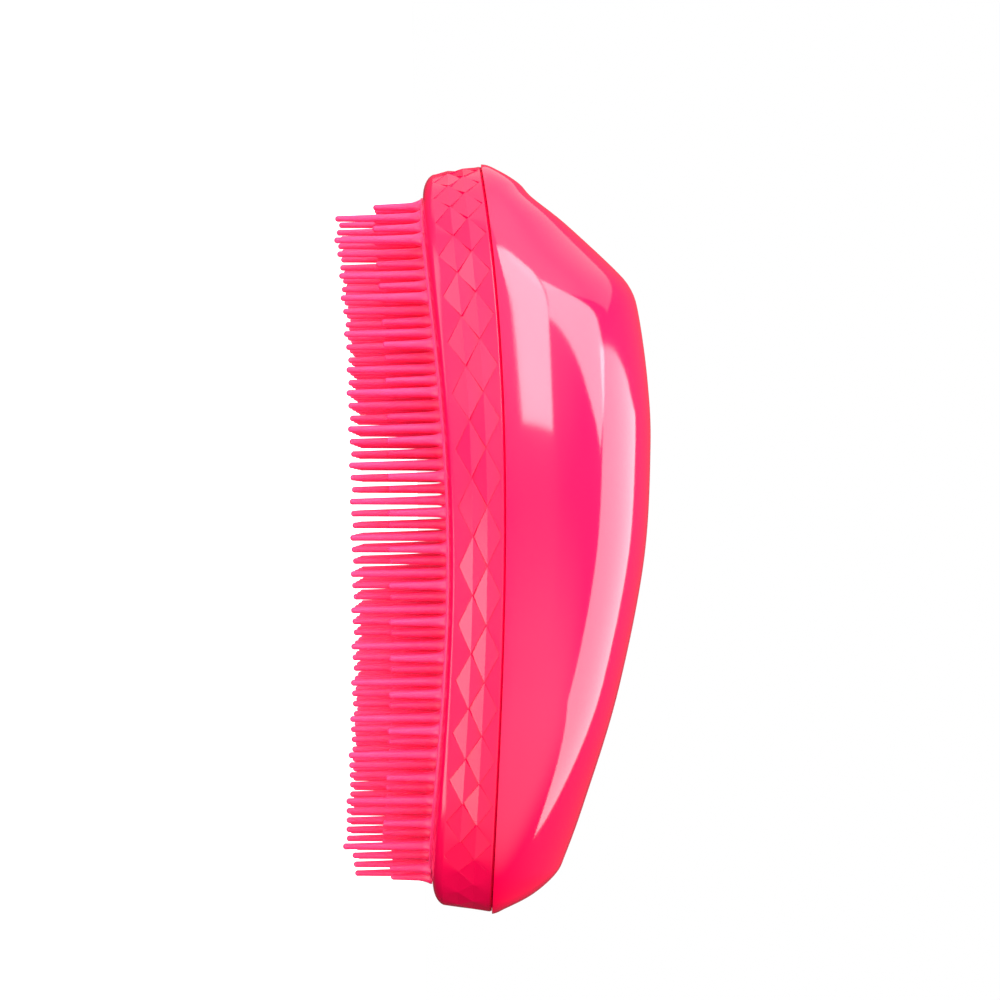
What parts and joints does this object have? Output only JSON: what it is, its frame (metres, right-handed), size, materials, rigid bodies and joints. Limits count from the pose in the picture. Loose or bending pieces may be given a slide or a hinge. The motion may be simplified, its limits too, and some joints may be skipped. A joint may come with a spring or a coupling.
{
  "type": "detangling hairbrush",
  "caption": "Palm-held detangling hairbrush: glossy domed cover, faceted skirt band and an arched flexible pad with two tiers of slim bending teeth.",
  "frame": {"origin": "under the centre of the brush, in the plane of the lowest tooth tips", "axes": "+X to the toe (the end with the lip and finger dip), +Y across the width, +Z from the teeth to the cover"},
  "size_m": [0.115, 0.07, 0.0476],
  "materials": {
    "cover": "high-gloss moulded plastic",
    "band": "satin moulded plastic with folded diamond facets",
    "retainer": "plain moulded plastic, hidden inside",
    "teeth": "satin flexible elastomer"
  },
  "bodies": {
    "brush": {"cover_shell": "cover", "base_band": "band", "pad_retainer": "retainer", "tooth_pad": "teeth"},
    "tooth_row_01": {"tooth_row_01": "teeth"},
    "tooth_row_02": {"tooth_row_02": "teeth"},
    "tooth_row_03": {"tooth_row_03": "teeth"},
    "tooth_row_04": {"tooth_row_04": "teeth"},
    "tooth_row_05": {"tooth_row_05": "teeth"},
    "tooth_row_06": {"tooth_row_06": "teeth"},
    "tooth_row_07": {"tooth_row_07": "teeth"},
    "tooth_row_08": {"tooth_row_08": "teeth"},
    "tooth_row_09": {"tooth_row_09": "teeth"},
    "tooth_row_10": {"tooth_row_10": "teeth"},
    "tooth_row_11": {"tooth_row_11": "teeth"},
    "tooth_row_12": {"tooth_row_12": "teeth"},
    "tooth_row_13": {"tooth_row_13": "teeth"},
    "tooth_row_14": {"tooth_row_14": "teeth"},
    "tooth_row_15": {"tooth_row_15": "teeth"},
    "tooth_row_16": {"tooth_row_16": "teeth"},
    "tooth_row_17": {"tooth_row_17": "teeth"},
    "tooth_row_18": {"tooth_row_18": "teeth"},
    "tooth_row_19": {"tooth_row_19": "teeth"},
    "tooth_row_20": {"tooth_row_20": "teeth"}
  },
  "joints": [
    {"name": "row_flex_01", "type": "hinge", "parent": "brush", "child": "tooth_row_01", "pos_m": [0.04981, 0, 0.0123], "axis": [0, 1, 0], "range_deg": [-12, 12], "stiffness_Nm_per_rad": 0.05},
    {"name": "row_flex_02", "type": "hinge", "parent": "brush", "child": "tooth_row_02", "pos_m": [0.04534, 0, 0.01255], "axis": [0, 1, 0], "range_deg": [-12, 12], "stiffness_Nm_per_rad": 0.05},
    {"name": "row_flex_03", "type": "hinge", "parent": "brush", "child": "tooth_row_03", "pos_m": [0.03997, 0, 0.01309], "axis": [0, 1, 0], "range_deg": [-12, 12], "stiffness_Nm_per_rad": 0.05},
    {"name": "row_flex_04", "type": "hinge", "parent": "brush", "child": "tooth_row_04", "pos_m": [0.03461, 0, 0.01365], "axis": [0, 1, 0], "range_deg": [-12, 12], "stiffness_Nm_per_rad": 0.05},
    {"name": "row_flex_05", "type": "hinge", "parent": "brush", "child": "tooth_row_05", "pos_m": [0.02925, 0, 0.01419], "axis": [0, 1, 0], "range_deg": [-12, 12], "stiffness_Nm_per_rad": 0.05},
    {"name": "row_flex_06", "type": "hinge", "parent": "brush", "child": "tooth_row_06", "pos_m": [0.02388, 0, 0.01469], "axis": [0, 1, 0], "range_deg": [-12, 12], "stiffness_Nm_per_rad": 0.05},
    {"name": "row_flex_07", "type": "hinge", "parent": "brush", "child": "tooth_row_07", "pos_m": [0.01852, 0, 0.01512], "axis": [0, 1, 0], "range_deg": [-12, 12], "stiffness_Nm_per_rad": 0.05},
    {"name": "row_flex_08", "type": "hinge", "parent": "brush", "child": "tooth_row_08", "pos_m": [0.01316, 0, 0.01545], "axis": [0, 1, 0], "range_deg": [-12, 12], "stiffness_Nm_per_rad": 0.05},
    {"name": "row_flex_09", "type": "hinge", "parent": "brush", "child": "tooth_row_09", "pos_m": [0.00779, 0, 0.01568], "axis": [0, 1, 0], "range_deg": [-12, 12], "stiffness_Nm_per_rad": 0.05},
    {"name": "row_flex_10", "type": "hinge", "parent": "brush", "child": "tooth_row_10", "pos_m": [0.00243, 0, 0.01579], "axis": [0, 1, 0], "range_deg": [-12, 12], "stiffness_Nm_per_rad": 0.05},
    {"name": "row_flex_11", "type": "hinge", "parent": "brush", "child": "tooth_row_11", "pos_m": [-0.00293, 0, 0.01578], "axis": [0, 1, 0], "range_deg": [-12, 12], "stiffness_Nm_per_rad": 0.05},
    {"name": "row_flex_12", "type": "hinge", "parent": "brush", "child": "tooth_row_12", "pos_m": [-0.0083, 0, 0.01564], "axis": [0, 1, 0], "range_deg": [-12, 12], "stiffness_Nm_per_rad": 0.05},
    {"name": "row_flex_13", "type": "hinge", "parent": "brush", "child": "tooth_row_13", "pos_m": [-0.01366, 0, 0.0154], "axis": [0, 1, 0], "range_deg": [-12, 12], "stiffness_Nm_per_rad": 0.05},
    {"name": "row_flex_14", "type": "hinge", "parent": "brush", "child": "tooth_row_14", "pos_m": [-0.01902, 0, 0.01504], "axis": [0, 1, 0], "range_deg": [-12, 12], "stiffness_Nm_per_rad": 0.05},
    {"name": "row_flex_15", "type": "hinge", "parent": "brush", "child": "tooth_row_15", "pos_m": [-0.02438, 0, 0.0146], "axis": [0, 1, 0], "range_deg": [-12, 12], "stiffness_Nm_per_rad": 0.05},
    {"name": "row_flex_16", "type": "hinge", "parent": "brush", "child": "tooth_row_16", "pos_m": [-0.02975, 0, 0.01409], "axis": [0, 1, 0], "range_deg": [-12, 12], "stiffness_Nm_per_rad": 0.05},
    {"name": "row_flex_17", "type": "hinge", "parent": "brush", "child": "tooth_row_17", "pos_m": [-0.03511, 0, 0.01354], "axis": [0, 1, 0], "range_deg": [-12, 12], "stiffness_Nm_per_rad": 0.05},
    {"name": "row_flex_18", "type": "hinge", "parent": "brush", "child": "tooth_row_18", "pos_m": [-0.04047, 0, 0.01298], "axis": [0, 1, 0], "range_deg": [-12, 12], "stiffness_Nm_per_rad": 0.05},
    {"name": "row_flex_19", "type": "hinge", "parent": "brush", "child": "tooth_row_19", "pos_m": [-0.04584, 0, 0.01246], "axis": [0, 1, 0], "range_deg": [-12, 12], "stiffness_Nm_per_rad": 0.05},
    {"name": "row_flex_20", "type": "hinge", "parent": "brush", "child": "tooth_row_20", "pos_m": [-0.05031, 0, 0.0123], "axis": [0, 1, 0], "range_deg": [-12, 12], "stiffness_Nm_per_rad": 0.05}
  ]
}
